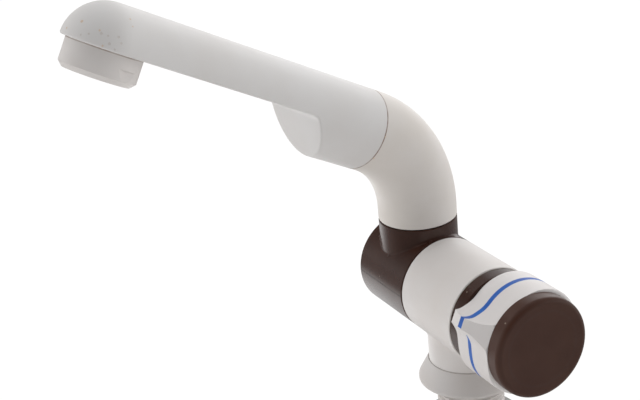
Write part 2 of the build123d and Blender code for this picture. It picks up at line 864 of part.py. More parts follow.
with BuildPart() as knob_grip:
    with BuildSketch(across(knob_front)):
        add(knob_outline(0))
    extrude(amount=knob_length)
    # the nose slopes down to the rear and more steeply to the front of its land
    beyond = nose_reach + nose_width
    with BuildSketch(along_barrel(nose_angle)):
        with BuildLine():
            Polyline(
                (land_rear, nose_reach),
                (land_rear, beyond),
                (knob_rear + over, beyond),
                (knob_rear + over, nose_rear_reach),
                (knob_rear, nose_rear_reach),
                close=True,
            )
        make_face()
        with BuildLine():
            Polyline(
                (land_front, nose_reach),
                (land_front, beyond),
                (knob_front - over, beyond),
                (knob_front - over, nose_front_reach),
                (knob_front, nose_front_reach),
                close=True,
            )
        make_face()
    extrude(amount=knob_radius, both=True, mode=Mode.SUBTRACT)
    # the front edge is rounded inwards towards the cap
    with BuildSketch(along_barrel()):
        with BuildLine():
            RadiusArc(
                (knob_front + knob_front_round, knob_radius),
                (knob_front, knob_radius - knob_front_round),
                -knob_front_round,
            )
            Polyline(
                (knob_front, knob_radius - knob_front_round),
                (knob_front - over, knob_radius - knob_front_round),
                (knob_front - over, beyond),
                (knob_front + knob_front_round, beyond),
                (knob_front + knob_front_round, knob_radius),
            )
        make_face()
    revolve(axis=barrel_axis, mode=Mode.SUBTRACT)
    # the rear edge is rounded too, but not across the nose
    round_start = nose_angle + upper_flank_points[-1][0]
    round_end = nose_angle - lower_flank_points[1][0] + 360
    with BuildSketch(along_barrel(round_start)):
        with BuildLine():
            RadiusArc(
                (knob_rear - knob_rear_round, knob_radius),
                (knob_rear, knob_radius - knob_rear_round),
                knob_rear_round,
            )
            Polyline(
                (knob_rear, knob_radius - knob_rear_round),
                (knob_rear + over, knob_radius - knob_rear_round),
                (knob_rear + over, knob_radius + over),
                (knob_rear - knob_rear_round, knob_radius + over),
                (knob_rear - knob_rear_round, knob_radius),
            )
        make_face()
    revolve(axis=barrel_axis, revolution_arc=round_end - round_start, mode=Mode.SUBTRACT)
    # hollow in front of the web and behind it, with the boss standing in the rear one
    with BuildSketch(across(knob_front)):
        Circle(knob_bore)
    extrude(amount=knob_web_setback, mode=Mode.SUBTRACT)
    with BuildSketch(across(web_front + knob_web)):
        Circle(knob_bore)
        Circle(boss_radius, mode=Mode.SUBTRACT)
    extrude(amount=knob_rear - web_front - knob_web, mode=Mode.SUBTRACT)
    with BuildSketch(across(boss_rear)):
        Circle(boss_radius + over)
    extrude(amount=knob_rear - boss_rear, mode=Mode.SUBTRACT)
    # D-shaped hole for the spindle
    with BuildSketch(across(web_front)):
        Circle(spindle_radius + fit)
        with Locations((0, spindle_flat + fit + spindle_radius)):
            Rectangle(4 * spindle_radius, 2 * spindle_radius, mode=Mode.SUBTRACT)
    extrude(amount=boss_length, mode=Mode.SUBTRACT)
    # grooves for the two inlays
    add(knob_stripe_upper.part, mode=Mode.SUBTRACT)
    add(knob_stripe_lower.part, mode=Mode.SUBTRACT)
save(knob_grip.part, "knob_grip")

with BuildPart() as knob_cap:
    with BuildSketch(along_barrel()):
        with BuildLine():
            ThreePointArc(
                (cap_front + cap_dish, 0),
                (cap_front + cap_dish * 0.75, (cap_radius - cap_front_round) / 2),
                (cap_front, cap_radius - cap_front_round),
            )
            RadiusArc(
                (cap_front, cap_radius - cap_front_round),
                (cap_front + cap_front_round, cap_radius),
                cap_front_round,
            )
            Polyline(
                (cap_front + cap_front_round, cap_radius),
                (knob_front, cap_radius),
                (knob_front, knob_bore - fit),
                (knob_front + cap_skirt_length, knob_bore - fit),
                (knob_front + cap_skirt_length, knob_bore - fit - cap_skirt_wall),
                (cap_front + cap_dish + cap_face, knob_bore - fit - cap_skirt_wall),
                (cap_front + cap_dish + cap_face, 0),
                (cap_front + cap_dish, 0),
            )
        make_face()
    revolve(axis=barrel_axis)
save(knob_cap.part, "knob_cap")

save(
    ring(
        across(web_front - knob_washer_thickness),
        knob_screw_radius + washer_play,
        knob_washer_radius,
        knob_washer_thickness,
    ),
    "knob_washer",
)

screw_head_rear = web_front - knob_washer_thickness
with BuildPart() as knob_screw:
    with BuildSketch(across(screw_head_rear)):
        Circle(knob_screw_radius)
    extrude(amount=knob_screw_length)
    with BuildSketch(across(screw_head_rear - knob_screw_head)):
        Circle(knob_screw_head_radius)
    extrude(amount=knob_screw_head)
    fillet(knob_screw.edges().sort_by(Axis.Y)[0], radius=knob_screw_round)
    with BuildSketch(across(screw_head_rear - knob_screw_head)):
        Rectangle(1.1 * knob_screw_head_radius, knob_screw_cross)
        Rectangle(knob_screw_cross, 1.1 * knob_screw_head_radius)
    extrude(amount=knob_screw_head * 0.6, mode=Mode.SUBTRACT)
save(knob_screw.part, "knob_screw")

# Fold joint
pivot_seal_front = swivel_front + pivot_seal_offset
pivot_seal_rear = (rear_land_front + rear_land_rear) / 2
with BuildPart() as pivot_tube:
    with BuildSketch(across(partition_rear)):
        Circle(socket_radius)
    extrude(amount=tube_rear - partition_rear)
    with BuildSketch(across(partition_rear)):
        Circle(tube_bore)
    extrude(amount=tube_rear - tube_end_wall - partition_rear, mode=Mode.SUBTRACT)
    # four slots let the water out into the groove of the swivel barrel
    window_front = stub_offset - tube_window_length / 2
    with BuildSketch(across(window_front)):
        with PolarLocations(socket_radius, 4, start_angle=0):
            Rectangle(2 * (socket_radius - tube_bore + over), tube_window_width)
    extrude(amount=tube_window_length, mode=Mode.SUBTRACT)
    # seal grooves and clip groove
    for station in (pivot_seal_front, pivot_seal_rear):
        with BuildSketch(across(station - seal_room * pivot_seal_section)):
            Circle(socket_radius + over)
            Circle(socket_radius - 2 * pivot_seal_section - fit, mode=Mode.SUBTRACT)
        extrude(amount=2 * seal_room * pivot_seal_section, mode=Mode.SUBTRACT)
    with BuildSketch(across(pivot_washer_rear + fit)):
        Circle(socket_radius + over)
        Circle(pivot_groove_radius, mode=Mode.SUBTRACT)
    extrude(amount=pivot_clip_thickness, mode=Mode.SUBTRACT)
save(pivot_tube.part, "pivot_tube")

with BuildPart() as pivot_o_rings:
    add(o_ring(across(pivot_seal_front), socket_radius, pivot_seal_section))
    add(o_ring(across(pivot_seal_rear), socket_radius, pivot_seal_section))
save(pivot_o_rings.part, "pivot_o_rings")

save(
    ring(
        across(rear_land_rear),
        socket_radius + washer_play,
        pivot_washer_radius,
        pivot_washer_thickness,
    ),
    "pivot_washer",
)

with BuildPart() as pivot_clip:
    with BuildSketch(across(pivot_washer_rear + fit)):
        Circle(pivot_clip_radius)
        Circle(pivot_groove_radius + 2 * fit, mode=Mode.SUBTRACT)
        with Locations((0, -pivot_clip_radius)):
            Rectangle(pivot_clip_mouth, pivot_clip_radius, mode=Mode.SUBTRACT)
    extrude(amount=pivot_clip_thickness)
save(pivot_clip.part, "pivot_clip")

spigot_hole_floor = spigot_foot - gap
lock_level = stub_top - lock_groove_drop
with BuildPart() as swivel_barrel:
    with BuildSketch(across(swivel_front)):
        Circle(barrel_radius)
    extrude(amount=swivel_length)
    fillet(swivel_barrel.edges().filter_by(GeomType.CIRCLE), radius=edge_round)
    with BuildSketch(level(barrel_height, stub_offset)):
        Circle(stub_radius)
    extrude(amount=stub_height)
    fillet(
        swivel_barrel.edges().filter_by(GeomType.CIRCLE).group_by(Axis.Z)[-1],
        radius=edge_round,
    )
    fillet(swivel_barrel.edges().filter_by(GeomType.BSPLINE), radius=stub_blend)
    # running bore, water groove, cavity for the clip and recess for the rear cap
    with BuildSketch(across(swivel_front)):
        Circle(socket_radius + fit)
    extrude(amount=swivel_length, mode=Mode.SUBTRACT)
    with BuildSketch(across(front_land_rear)):
        Circle(water_groove_radius)
    extrude(amount=rear_land_front - front_land_rear, mode=Mode.SUBTRACT)
    with BuildSketch(across(rear_land_rear)):
        Circle(clip_cavity_radius)
    extrude(amount=clip_cavity_depth, mode=Mode.SUBTRACT)
    with BuildSketch(across(rear_cap_front)):
        Circle(rear_cap_radius + fit)
    extrude(amount=rear_cap_thickness, mode=Mode.SUBTRACT)
    # riser and socket for the spigot of the spout
    with BuildSketch(level(barrel_height, stub_offset)):
        Circle(stub_riser_bore)
    extrude(amount=stub_height, mode=Mode.SUBTRACT)
    with BuildSketch(level(spigot_hole_floor, stub_offset)):
        Circle(spigot_radius + fit)
    extrude(amount=stub_top - spigot_hole_floor, mode=Mode.SUBTRACT)
    # arc slot that lets the stop pin travel from upright to folded
    stop_margin = degrees((stop_pin_radius + gap) / stop_radius)
    slot_start = stop_pin_angle - stop_margin
    slot_sweep = fold_angle + 2 * stop_margin
    slot_inner = stop_radius - stop_pin_radius - gap
    slot_outer = stop_radius + stop_pin_radius + gap
    with BuildSketch(across(swivel_front)):
        with BuildLine():
            outer_arc = CenterArc((0, 0), slot_outer, slot_start, slot_sweep)
            inner_arc = CenterArc((0, 0), slot_inner, slot_start, slot_sweep)
            Line(outer_arc @ 0, inner_arc @ 0)
            Line(outer_arc @ 1, inner_arc @ 1)
        make_face()
    extrude(amount=stop_pin_reach, mode=Mode.SUBTRACT)
    # threaded hole for the screw that holds the spout, at the back of the stub
    with BuildSketch(Plane(origin=(0, stub_offset, lock_level), x_dir=(-1, 0, 0), z_dir=(0, 1, 0))):
        Circle(lock_screw_radius + fit)
    extrude(amount=stub_radius + over, mode=Mode.SUBTRACT)
save(swivel_barrel.part, "swivel_barrel")

with BuildPart() as rear_cap:
    with BuildSketch(across(rear_cap_front)):
        Circle(rear_cap_radius)
    extrude(amount=rear_cap_thickness)
    chamfer(rear_cap.edges().sort_by(Axis.Y)[-1], length=rear_cap_chamfer)
save(rear_cap.part, "rear_cap")

lock_tip_start = spigot_radius - lock_groove_depth + gap
lock_body_start = spigot_radius + gap
lock_screw_length = stub_radius - lock_body_start - lock_screw_setback
with BuildPart() as spout_lock_screw:
    lock_plane = Plane(
        origin=(0, stub_offset + lock_tip_start, lock_level), x_dir=(-1, 0, 0), z_dir=(0, 1, 0)
    )
    with BuildSketch(lock_plane):
        Circle(lock_screw_tip_radius)
    extrude(amount=lock_body_start - lock_tip_start)
    with BuildSketch(lock_plane.offset(lock_body_start - lock_tip_start)):
        Circle(lock_screw_radius)
    extrude(amount=lock_screw_length)
    with BuildSketch(lock_plane.offset(lock_body_start - lock_tip_start + lock_screw_length)):
        RegularPolygon(lock_hex_radius, 6)
    extrude(amount=-lock_hex_depth, mode=Mode.SUBTRACT)
save(spout_lock_screw.part, "spout_lock_screw")

# Spout
reach_way = Vector(-cos(radians(spout_turn_angle)), -sin(radians(spout_turn_angle)), 0)
side_way = reach_way.cross(Vector(0, 0, 1))
spout_plane = Plane(origin=(0, stub_offset, spout_start), x_dir=reach_way, z_dir=side_way)

with BuildLine(spout_plane) as elbow_path:
    riser = Line((0, 0), (0, elbow_rise))
    bend = JernArc(riser @ 1, riser % 1, elbow_bend_radius, -elbow_bend_angle)
    Line(bend @ 1, bend @ 1 + (bend % 1) * elbow_run)

seam_point = elbow_path.line @ 1
arm_way = elbow_path.line % 1
arm_up = side_way.cross(arm_way)
seam_plane = Plane(origin=seam_point, x_dir=-side_way, z_dir=arm_way)

with BuildPart() as spout_elbow:
    with BuildSketch(level(spout_start, stub_offset)):
        Circle(spout_radius)
    sweep(path=elbow_path.line)
    fillet(
        spout_elbow.edges().filter_by(GeomType.CIRCLE).sort_by(Axis.Z)[0],
        radius=edge_round,
    )
    with BuildSketch(level(spigot_foot, stub_offset)):
        Circle(spigot_radius)
    extrude(amount=spout_start - spigot_foot)
    # water way through spigot and bend, and the socket for the arm
    with BuildSketch(level(spigot_foot, stub_offset)):
        Circle(spigot_bore)
    extrude(amount=spout_start - spigot_foot, mode=Mode.SUBTRACT)
    with BuildSketch(level(spout_start, stub_offset)):
        Circle(elbow_bore)
    sweep(path=elbow_path.line, mode=Mode.SUBTRACT)
    with BuildSketch(seam_plane):
        Circle(arm_spigot_radius + fit)
    extrude(amount=-arm_spigot_length - gap, mode=Mode.SUBTRACT)
    # grooves for the two seals and for the lock screw
    for turn in range(2):
        seal_level = spigot_foot + spigot_seal_start + turn * spigot_seal_spacing
        with BuildSketch(level(seal_level - seal_room * spigot_seal_section, stub_offset)):
            Circle(spigot_radius + over)
            Circle(spigot_radius - 2 * spigot_seal_section - fit, mode=Mode.SUBTRACT)
        extrude(amount=2 * seal_room * spigot_seal_section, mode=Mode.SUBTRACT)
    with BuildSketch(level(lock_level - lock_groove_width / 2 - fit, stub_offset)):
        Circle(spigot_radius + over)
        Circle(spigot_radius - lock_groove_depth, mode=Mode.SUBTRACT)
    extrude(amount=lock_groove_width + 2 * fit, mode=Mode.SUBTRACT)
save(spout_elbow.part, "spout_elbow")

with BuildPart() as spigot_o_rings:
    for turn in range(2):
        seal_level = spigot_foot + spigot_seal_start + turn * spigot_seal_spacing
        add(o_ring(level(seal_level, stub_offset), spigot_radius, spigot_seal_section))
save(spigot_o_rings.part, "spigot_o_rings")

arm_seal_setback = arm_spigot_length / 2
arm_side_plane = Plane(origin=seam_point, x_dir=arm_way, z_dir=side_way)
nozzle_centre = seam_point + arm_way * arm_length
nozzle_plane = Plane(origin=nozzle_centre, x_dir=side_way, z_dir=-arm_up)



def domed_bar(radius, start):
    """Round bar along the arm from a distance behind the seam, with a domed end at the nozzle."""
    with BuildPart() as bar:
        with BuildSketch(arm_side_plane):
            with BuildLine():
                Polyline((arm_length + radius, 0), (start, 0), (start, radius), (arm_length, radius))
                CenterArc((arm_length, 0), radius, 0, 90)
            make_face()
        revolve(axis=Axis(seam_point, arm_way))
    return bar.part


with BuildPart() as arm_space:
    add(domed_bar(spout_radius - arm_wall, arm_bore_length / 2))
    split(bisect_by=Plane(origin=seam_point + arm_up * arm_wall, z_dir=arm_up), keep=Keep.TOP)

with BuildPart() as spout_arm:
    # round bar with a domed end
    add(domed_bar(spout_radius, 0))
    # the underside is cut away level with the axis from the step to the tip
    with BuildSketch(arm_side_plane):
        with BuildLine():
            depth = spout_radius + over
            lean = depth * tan(radians(step_angle))
            Polyline(
                (step_distance, 0),
                (arm_length + 2 * spout_radius, 0),
                (arm_length + 2 * spout_radius, -depth),
                (step_distance - lean, -depth),
                close=True,
            )
        make_face()
        fillet(vertices().sort_by_distance((step_distance, 0))[0], radius=step_round)
    extrude(amount=2 * spout_radius, both=True, mode=Mode.SUBTRACT)
    # the edges between the top and the underside are rounded, from the step round the tip
    lower_edges = [
        edge
        for edge in spout_arm.edges()
        if all(abs((edge @ part - seam_point).dot(arm_up)) < fit for part in (0, 0.5, 1))
        and abs((edge % 0.5).dot(side_way)) < 0.9
    ]
    fillet(lower_edges, radius=arm_edge_round)
    # spigot for the elbow
    with BuildSketch(seam_plane):
        Circle(arm_spigot_radius)
    extrude(amount=-arm_spigot_length)
    with BuildSketch(seam_plane.offset(-arm_seal_setback - seal_room * arm_seal_section)):
        Circle(arm_spigot_radius + over)
        Circle(arm_spigot_radius - 2 * arm_seal_section - fit, mode=Mode.SUBTRACT)
    extrude(amount=2 * seal_room * arm_seal_section, mode=Mode.SUBTRACT)
    # water way: round near the elbow, half round out to the dome
    with BuildSketch(seam_plane):
        Circle(arm_spigot_bore)
    extrude(amount=-arm_spigot_length, mode=Mode.SUBTRACT)
    with BuildSketch(seam_plane):
        Circle(arm_bore)
    extrude(amount=arm_bore_length, mode=Mode.SUBTRACT)
    add(arm_space.part, mode=Mode.SUBTRACT)
    # hole for the neck of the nozzle
    with BuildSketch(nozzle_plane):
        Circle(nozzle_neck_radius + fit)
    extrude(amount=-arm_wall - over, mode=Mode.SUBTRACT)
save(spout_arm.part, "spout_arm")

save(
    o_ring(seam_plane.offset(-arm_seal_setback), arm_spigot_radius, arm_seal_section),
    "arm_o_ring",
)

# Nozzle
with BuildPart() as nozzle:
    with BuildSketch(nozzle_plane):
        Circle(nozzle_radius)
    extrude(amount=nozzle_height)
    chamfer(
        nozzle.edges().filter_by(GeomType.CIRCLE).sort_by(Axis(nozzle_centre, -arm_up))[-1],
        length=nozzle_foot_chamfer,
    )
    # two spanner flats at the foot
    flat_plane = nozzle_plane.rotated((0, 0, nozzle_flat_angle))
    with BuildSketch(flat_plane.offset(nozzle_height - nozzle_flat_height)):
        with GridLocations(2 * nozzle_flat + 2 * nozzle_radius, 0, 2, 1):
            Rectangle(2 * nozzle_radius, 3 * nozzle_radius)
    extrude(amount=nozzle_flat_height, mode=Mode.SUBTRACT)
    # neck that goes up into the arm, and the seat of the seal round it
    with BuildSketch(nozzle_plane):
        Circle(nozzle_neck_radius)
    extrude(amount=-nozzle_neck_height)
    with BuildSketch(nozzle_plane):
        Circle(nozzle_seal_radius)
        Circle(nozzle_neck_radius, mode=Mode.SUBTRACT)
    extrude(amount=nozzle_seal_thickness, mode=Mode.SUBTRACT)
    with BuildSketch(nozzle_plane.offset(-nozzle_neck_height)):
        Circle(nozzle_bore)
    extrude(amount=nozzle_neck_height + nozzle_height, mode=Mode.SUBTRACT)
    with BuildSketch(nozzle_plane.offset(nozzle_height - aerator_recess - aerator_height)):
        Circle(aerator_radius + fit)
    extrude(amount=aerator_recess + aerator_height, mode=Mode.SUBTRACT)
save(nozzle.part, "nozzle")

save(
    ring(nozzle_plane, nozzle_neck_radius + fit, nozzle_seal_radius, nozzle_seal_thickness),
    "nozzle_seal",
)

with BuildPart() as aerator_insert:
    aerator_top = nozzle_plane.offset(nozzle_height - aerator_recess - aerator_height)
    with BuildSketch(aerator_top):
        Circle(aerator_radius)
        Circle(aerator_radius - aerator_rim, mode=Mode.SUBTRACT)
    extrude(amount=aerator_height)
    with BuildSketch(aerator_top.offset(aerator_height - aerator_plate)):
        Circle(aerator_radius - aerator_rim)
        with HexLocations(aerator_hole_pitch / 2, 5, 5):
            Circle(aerator_hole_radius, mode=Mode.SUBTRACT)
    extrude(amount=aerator_plate)
save(aerator_insert.part, "aerator_insert")
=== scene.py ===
import bmesh
import bpy
import math
from mathutils import Matrix, Vector


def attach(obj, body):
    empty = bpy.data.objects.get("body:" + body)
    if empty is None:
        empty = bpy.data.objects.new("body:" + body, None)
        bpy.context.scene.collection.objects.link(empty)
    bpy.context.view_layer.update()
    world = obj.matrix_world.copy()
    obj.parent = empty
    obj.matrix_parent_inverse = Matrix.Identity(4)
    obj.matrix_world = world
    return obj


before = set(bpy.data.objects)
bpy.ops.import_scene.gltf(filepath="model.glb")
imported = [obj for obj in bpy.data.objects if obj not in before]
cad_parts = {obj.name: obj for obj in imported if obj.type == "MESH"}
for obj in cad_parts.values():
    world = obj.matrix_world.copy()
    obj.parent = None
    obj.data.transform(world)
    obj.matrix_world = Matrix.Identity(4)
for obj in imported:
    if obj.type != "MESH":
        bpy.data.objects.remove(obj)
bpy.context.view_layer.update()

# Fittings under the deck.
# The hose tail is turned brass. The washer and the nut are grey nylon mouldings, and the
# seals and the cable grommet are black nitrile rubber with a dusty bloom.


def linear(hex_colour):
    """sRGB hex to the linear colour that the shader wants."""
    parts = [int(hex_colour[i : i + 2], 16) / 255 for i in (1, 3, 5)]
    return (*[c / 12.92 if c <= 0.04045 else ((c + 0.055) / 1.055) ** 2.4 for c in parts], 1.0)


def add_node(tree, kind, settings=None, **sockets):
    """Adds one shader node with its settings, and fills or links its sockets by name or place."""
    made = tree.nodes.new(kind)
    for name, value in (settings or {}).items():
        setattr(made, name, value)
    for name, value in sockets.items():
        place = int(name[1:]) if name[0] == "_" and name[1:].isdigit() else name.replace("_", " ")
        if isinstance(value, bpy.types.NodeSocket):
            tree.links.new(value, made.inputs[place])
        else:
            made.inputs[place].default_value = value
    return made


def surface(name, low, high, patch_mm, rough, relief_mm, grain_mm, specular=0.5, uneven=0.065):
    """Material that wanders between two colours in patches, with a grain in relief. Grains are
    drawn coarser than real ones, so that they show.

    Returns the material, its node tree, the object coordinates and the colour socket.
    """
    material = bpy.data.materials.new(name)
    material.use_nodes = True
    tree = material.node_tree
    shader = tree.nodes["Principled BSDF"]
    place = add_node(tree, "ShaderNodeTexCoord").outputs["Object"]
    patches = add_node(
        tree, "ShaderNodeTexNoise", Vector=place, Scale=1000 / patch_mm, Detail=4.0, Roughness=0.55
    )
    share = add_node(
        tree, "ShaderNodeMapRange", Value=patches.outputs["Fac"], From_Min=0.35, From_Max=0.65
    )
    colour = add_node(
        tree,
        "ShaderNodeMix",
        {"data_type": "RGBA"},
        _0=share.outputs[0],
        _6=linear(low),
        _7=linear(high),
    )
    wear = add_node(
        tree, "ShaderNodeTexNoise", Vector=place, Scale=2500 / patch_mm, Detail=3.0, Distortion=0.4
    )
    dull = add_node(
        tree,
        "ShaderNodeMapRange",
        Value=wear.outputs["Fac"],
        From_Min=0.3,
        From_Max=0.7,
        To_Min=rough - uneven,
        To_Max=rough + uneven,
    )
    grain = add_node(tree, "ShaderNodeTexNoise", Vector=place, Scale=1000 / grain_mm, Detail=2.0)
    bump = add_node(
        tree, "ShaderNodeBump", Strength=0.4, Distance=relief_mm / 1000, Height=grain.outputs["Fac"]
    )
    tree.links.new(colour.outputs[2], shader.inputs["Base Color"])
    tree.links.new(dull.outputs[0], shader.inputs["Roughness"])
    tree.links.new(bump.outputs[0], shader.inputs["Normal"])
    shader.inputs["Specular IOR Level"].default_value = specular
    return material, tree, place, colour.outputs[2]


def dress(material, *node_names):
    """Gives CAD nodes their finished material."""
    for name in node_names:
        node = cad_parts[name]
        if not node.material_slots:
            node.data.materials.append(material)
        for slot in node.material_slots:
            slot.material = material


rubber = surface(
    "moulded black nitrile rubber",
    "#1B1B1C",
    "#2E2D2D",
    patch_mm=3.0,
    rough=0.62,
    relief_mm=0.06,
    grain_mm=0.5,
)[0]
dress(rubber, "deck_gasket", "tail_o_ring", "cable_grommet", "bonnet_o_ring", "valve_seat_seal")
dress(rubber, "spindle_o_ring", "pivot_o_rings", "spigot_o_rings", "arm_o_ring", "nozzle_seal")

nylon = surface(
    "moulded grey nylon",
    "#8E8E8C",
    "#9E9D9A",
    patch_mm=12.0,
    rough=0.55,
    relief_mm=0.05,
    grain_mm=0.6,
    specular=0.4,
)[0]
dress(nylon, "back_washer", "back_nut")


def bare_metal(name, low, high, **looks):
    """Metal with the same patches and grain as any other surface."""
    material = surface(name, low, high, **looks)[0]
    material.node_tree.nodes["Principled BSDF"].inputs["Metallic"].default_value = 1.0
    return material


brass = bare_metal(
    "turned brass", "#B08D4C", "#CBAA68", patch_mm=4.0, rough=0.3, relief_mm=0.03, grain_mm=0.8
)
dress(brass, "hose_tail", "valve_bonnet", "spindle", "pivot_tube")

# Body.
# Barrel, stem and threaded shank are one moulding of white acetal, satin all over. The joint
# between the stem and the flange below it is drawn as a thin grey line.


def moulded_white(name, fresh, aged):
    """White acetal from a finely eroded mould, a little uneven in tone. The grain of such a
    mould is about 0.1 mm by general knowledge, drawn at 0.7 mm so that it shows."""
    return surface(
        name,
        fresh,
        aged,
        patch_mm=30.0,
        rough=0.45,
        relief_mm=0.03,
        grain_mm=0.7,
        specular=0.35,
    )


def near_plane(tree, place, point, way, half_width_mm):
    """Share that is 1 near the plane through a point, square to the way, and 0 from the half
    width on. It begins to fall at 0.4 of the half width. The point is in metres."""
    offset = add_node(tree, "ShaderNodeVectorMath", {"operation": "SUBTRACT"}, _0=place, _1=point)
    along = add_node(
        tree,
        "ShaderNodeVectorMath",
        {"operation": "DOT_PRODUCT"},
        _0=offset.outputs["Vector"],
        _1=way,
    )
    distance = add_node(
        tree, "ShaderNodeMath", {"operation": "ABSOLUTE"}, _0=along.outputs["Value"]
    )
    half_width = half_width_mm / 1000
    return add_node(
        tree,
        "ShaderNodeMapRange",
        Value=distance.outputs[0],
        From_Min=0.4 * half_width,
        From_Max=half_width,
        To_Min=1.0,
        To_Max=0.0,
    ).outputs[0]


def lay_dirt_or_sheen(made, share, dirt_or_sheen, strength, patch_mm=4.0, matt=True):
    """Lays dirt over a material where the share is 1, thinner and thicker in patches, and on
    the cap a gate mark and a painted sheen. Matt dirt takes the shine away too."""
    material, tree, place, colour = made
    shader = tree.nodes["Principled BSDF"]
    patches = add_node(tree, "ShaderNodeTexNoise", Vector=place, Scale=1000 / patch_mm, Detail=3.0)
    uneven = add_node(
        tree,
        "ShaderNodeMapRange",
        Value=patches.outputs["Fac"],
        From_Min=0.3,
        From_Max=0.6,
        To_Min=strength * 0.45,
        To_Max=strength,
    )
    amount = add_node(
        tree, "ShaderNodeMath", {"operation": "MULTIPLY"}, _0=share, _1=uneven.outputs[0]
    )
    mixed = add_node(
        tree,
        "ShaderNodeMix",
        {"data_type": "RGBA"},
        _0=amount.outputs[0],
        _6=colour,
        _7=linear(dirt_or_sheen),
    )
    tree.links.new(mixed.outputs[2], shader.inputs["Base Color"])
    if matt:
        shine = shader.inputs["Specular IOR Level"]
        left = add_node(
            tree,
            "ShaderNodeMapRange",
            Value=amount.outputs[0],
            To_Min=shine.default_value,
            To_Max=0.0,
        )
        tree.links.new(left.outputs[0], shine)
    return material, tree, place, mixed.outputs[2]


def dirty_joint(made, point, way, half_width_mm, dirt_or_sheen, strength):
    """The material with a line of dirt along the plane of a joint."""
    line = near_plane(*made[1:3], point, way, half_width_mm)
    return lay_dirt_or_sheen(made, line, dirt_or_sheen, strength)[0]


upright = (0, 0, 1)
flange_top = (0, 0, 0.0088)
body_white = moulded_white("moulded white acetal, body", "#D9D5D3", "#D5CFCB")
dress(dirty_joint(body_white, flange_top, upright, 0.2, "#8A807A", 0.45), "tap_body")

# The flange is a shade darker than the body: painted shade, for the lower light that it gets close
# to the deck.
flange_white_painted_darker = moulded_white("moulded white acetal, flange", "#CFCBC9", "#CBC5C1")
dress(dirty_joint(flange_white_painted_darker, flange_top, upright, 0.2, "#8A807A", 0.45), "deck_flange")

# Front collar.
# A brown acetal ring behind the knob. A thin olive line shows at its edge to the white
# body.


def moulded_brown(name, deep, light, rough=0.26):
    """Dark brown acetal from a polished mould, with an even, soft sheen."""
    return surface(
        name,
        deep,
        light,
        patch_mm=18.0,
        rough=rough,
        relief_mm=0.004,
        grain_mm=3.0,
        uneven=0.02,
    )


collar_brown = moulded_brown("moulded brown acetal, collar", "#371F17", "#3D241B")
body_front = (0, -0.0191, 0)
along_barrel = (0, 1, 0)
dress(
    dirty_joint(collar_brown, body_front, along_barrel, 0.35, "#5C583C", 0.7), "front_collar"
)

# Valve and switch.
# Behind the knob, out of sight: two ceramic discs lapped to a shine, a bright stainless clip,
# and the snap switch with its satin black case, tinned brass terminals and steel screws.
ceramic = surface(
    "lapped white ceramic",
    "#E4E1DA",
    "#D9D6CF",
    patch_mm=8.0,
    rough=0.18,
    relief_mm=0.01,
    grain_mm=1.0,
)[0]
dress(ceramic, "fixed_disc", "turning_disc")

steel = bare_metal(
    "bright stainless steel",
    "#9C9C9B",
    "#B2B1AF",
    patch_mm=3.0,
    rough=0.28,
    relief_mm=0.02,
    grain_mm=0.6,
)
dress(steel, "spindle_clip", "switch_screws", "knob_washer", "knob_screw")
dress(steel, "pivot_clip", "fold_stop_pin", "spout_lock_screw")

black_moulding = surface(
    "moulded black polyester",
    "#151516",
    "#1E1E1F",
    patch_mm=6.0,
    rough=0.5,
    relief_mm=0.04,
    grain_mm=0.6,
    specular=0.4,
)[0]
dress(black_moulding, "microswitch_case", "switch_plunger", "switch_cam", "pivot_washer")

tinned = bare_metal(
    "tinned brass strip",
    "#A39B84",
    "#B9B3A2",
    patch_mm=1.5,
    rough=0.35,
    relief_mm=0.01,
    grain_mm=0.5,
)
dress(tinned, "switch_terminals")

# Knob.
# The grip is a satin white moulding with a single nose. Two satin blue inlays round it mark
# the cold side, and a brown cap with a soft sheen is pressed into its front.
knob_white = moulded_white("moulded white acetal, knob", "#DBD7D6", "#D7D2D0")[0]
dress(knob_white, "knob_grip")

blue = surface(
    "moulded blue inlay",
    "#1A57B0",
    "#2466BE",
    patch_mm=7.0,
    rough=0.42,
    relief_mm=0.03,
    grain_mm=0.5,
    specular=0.35,
)[0]
dress(blue, "knob_stripe_upper", "knob_stripe_lower")

cap_brown = moulded_brown("moulded brown acetal, cap", "#4A2E24", "#51352A", 0.34)
smooth = {"interpolation_type": "SMOOTHSTEP"}
axis_height = 0.0338
cap_middle = (0, -0.0518, axis_height)
tree, place = cap_brown[1:3]
from_middle = add_node(
    tree, "ShaderNodeVectorMath", {"operation": "DISTANCE"}, _0=place, _1=cap_middle
)
# The gate of the mould left a faint dot in the middle. The faint pale ring of 15 mm radius is
# painted sheen, where the dished face catches the light.
for radius_mm, width_mm in ((0.0, 1.4), (15.0, 0.9)):
    away = add_node(
        tree,
        "ShaderNodeMath",
        {"operation": "SUBTRACT"},
        _0=from_middle.outputs["Value"],
        _1=radius_mm / 1000,
    )
    away = add_node(tree, "ShaderNodeMath", {"operation": "ABSOLUTE"}, _0=away.outputs[0])
    mark = add_node(
        tree,
        "ShaderNodeMapRange",
        smooth,
        Value=away.outputs[0],
        From_Max=width_mm / 1000,
        To_Min=1.0,
        To_Max=0.0,
    )
    cap_brown = lay_dirt_or_sheen(cap_brown, mark.outputs[0], "#4E3C36", 0.35, patch_mm=9.0, matt=False)
dress(cap_brown[0], "knob_cap")

# Fold joint.
# The swivel barrel and its rear cap are brown acetal. The halves of the mould meet level with
# the axis and left a fine line along the barrel.
barrel_brown = moulded_brown("moulded brown acetal, barrel", "#3B231B", "#41281F")
parting_line = dirty_joint(barrel_brown, (0, 0, axis_height), upright, 0.35, "#0E0705", 0.7)
dress(parting_line, "swivel_barrel")
dress(moulded_brown("moulded brown acetal, rear cap", "#3B231B", "#41281F")[0], "rear_cap")

